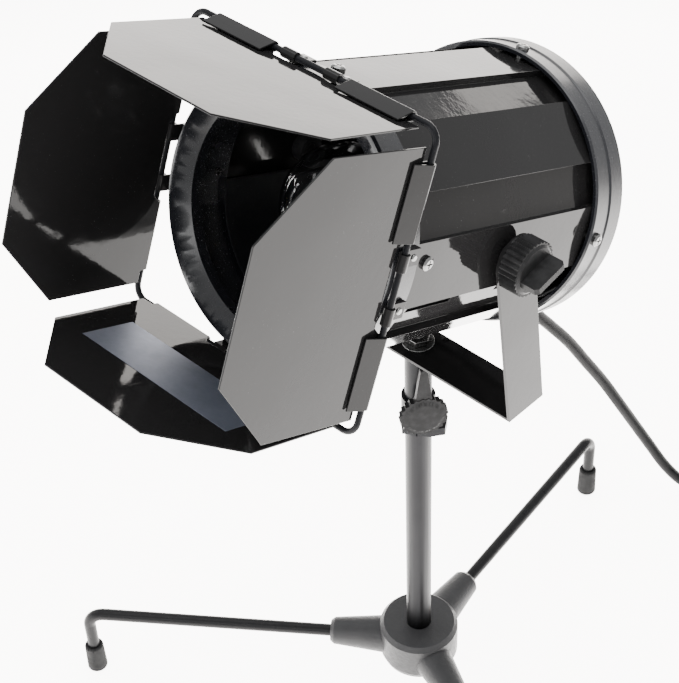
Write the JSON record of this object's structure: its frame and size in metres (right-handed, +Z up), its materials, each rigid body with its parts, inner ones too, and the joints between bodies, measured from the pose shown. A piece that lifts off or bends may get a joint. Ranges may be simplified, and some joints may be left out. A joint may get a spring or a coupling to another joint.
{
  "type": "follow spot",
  "caption": "Small stage spotlight with barn doors on a tilting yoke, on a telescoping stand with bent-rod legs and rubber feet, with its mains lead.",
  "frame": {"origin": "on the floor, under the axis of the stand's tube", "axes": "+Z up along the stand's tube; the beam leaves towards -Y; +X is the spotlight's left seen from behind it"},
  "size_m": [0.3203, 0.4574, 0.4595],
  "materials": {
    "black_gloss": "gloss black enamel on sheet metal",
    "black_satin": "satin black enamel",
    "black_plastic": "satin black plastic",
    "plated_steel": "bright plated",
    "gunmetal_tube": "satin gunmetal",
    "hub_metal": "satin dark grey on a casting",
    "leg_paint": "satin dark grey",
    "foot_rubber": "matt",
    "clear_glass": "clear",
    "bulb_brass": "bright",
    "label_foil": "blank silver foil",
    "cord_vinyl": "satin black vinyl"
  },
  "bodies": {
    "stand": {"hub": "hub_metal", "hub_bolt": "plated_steel", "leg_1": "leg_paint", "leg_2": "leg_paint", "leg_3": "leg_paint", "foot_1": "foot_rubber", "foot_2": "foot_rubber", "foot_3": "foot_rubber", "stand_tube": "gunmetal_tube", "stand_collar": "black_plastic", "cord_tube": "cord_vinyl", "cord_coil": "cord_vinyl", "cord_tail": "cord_vinyl", "plug": "cord_vinyl", "plug_blades": "bulb_brass"},
    "mast": {"mast_tube": "plated_steel", "mast_ferrule": "gunmetal_tube", "mast_stud": "plated_steel", "pan_nut": "plated_steel", "pan_washer": "plated_steel"},
    "yoke": {"yoke": "black_gloss"},
    "head": {"barrel_shell": "black_gloss", "pivot_bushes": "plated_steel", "front_ring": "black_satin", "rear_ring": "black_satin", "rear_cap": "black_satin", "ring_screws": "plated_steel", "front_screws": "plated_steel", "lamp_socket": "black_plastic", "socket_bracket": "plated_steel", "bulb_glass": "clear_glass", "bulb_base": "bulb_brass", "filament": "plated_steel", "hinge_wire": "black_gloss", "hinge_straps": "black_gloss", "strap_rivets": "plated_steel", "strain_relief": "cord_vinyl", "cord_stub": "cord_vinyl"},
    "door_top_body": {"door_top": "black_gloss"},
    "door_right_body": {"door_right": "black_gloss"},
    "door_bottom_body": {"door_bottom": "black_gloss", "blank_label": "label_foil"},
    "door_left_body": {"door_left": "black_gloss"},
    "height_knob_body": {"height_knob": "black_plastic"},
    "tilt_knob_right_body": {"tilt_knob_right": "black_plastic"},
    "tilt_knob_left_body": {"tilt_knob_left": "black_plastic"}
  },
  "joints": [
    {"name": "mast_height", "type": "slide", "parent": "stand", "child": "mast", "axis": [0, 0, 1], "range_m": [0, 0.1]},
    {"name": "yoke_pan", "type": "hinge", "parent": "mast", "child": "yoke", "pos_m": [0, 0, 0.255], "axis": [0, 0, 1], "range_deg": [-90, 90]},
    {"name": "head_tilt", "type": "hinge", "parent": "yoke", "child": "head", "pos_m": [0, -0.0116, 0.3442], "axis": [-1, 0, 0], "range_deg": [-52, 7.5]},
    {"name": "door_top_hinge", "type": "hinge", "parent": "head", "child": "door_top_body", "pos_m": [0, -0.05779, 0.43073], "axis": [1, 0, 0], "range_deg": [-120, 51]},
    {"name": "door_right_hinge", "type": "hinge", "parent": "head", "child": "door_right_body", "pos_m": [0.062, -0.08171, 0.37353], "axis": [0, -0.3859, -0.9225], "range_deg": [-120, 3.2]},
    {"name": "door_bottom_hinge", "type": "hinge", "parent": "head", "child": "door_bottom_body", "pos_m": [0, -0.10564, 0.31633], "axis": [-1, 0, 0], "range_deg": [-90, 51]},
    {"name": "door_left_hinge", "type": "hinge", "parent": "head", "child": "door_left_body", "pos_m": [-0.062, -0.08171, 0.37353], "axis": [0, 0.3859, 0.9225], "range_deg": [-120, 6]},
    {"name": "height_knob_turn", "type": "hinge", "parent": "stand", "child": "height_knob_body", "pos_m": [0.00744, -0.00541, 0.2205], "axis": [0.809, -0.5878, 0], "continuous": true},
    {"name": "tilt_knob_right_turn", "type": "hinge", "parent": "yoke", "child": "tilt_knob_right_body", "pos_m": [0.0625, -0.0116, 0.3442], "axis": [1, 0, 0], "continuous": true},
    {"name": "tilt_knob_left_turn", "type": "hinge", "parent": "yoke", "child": "tilt_knob_left_body", "pos_m": [-0.0625, -0.0116, 0.3442], "axis": [-1, 0, 0], "continuous": true}
  ]
}
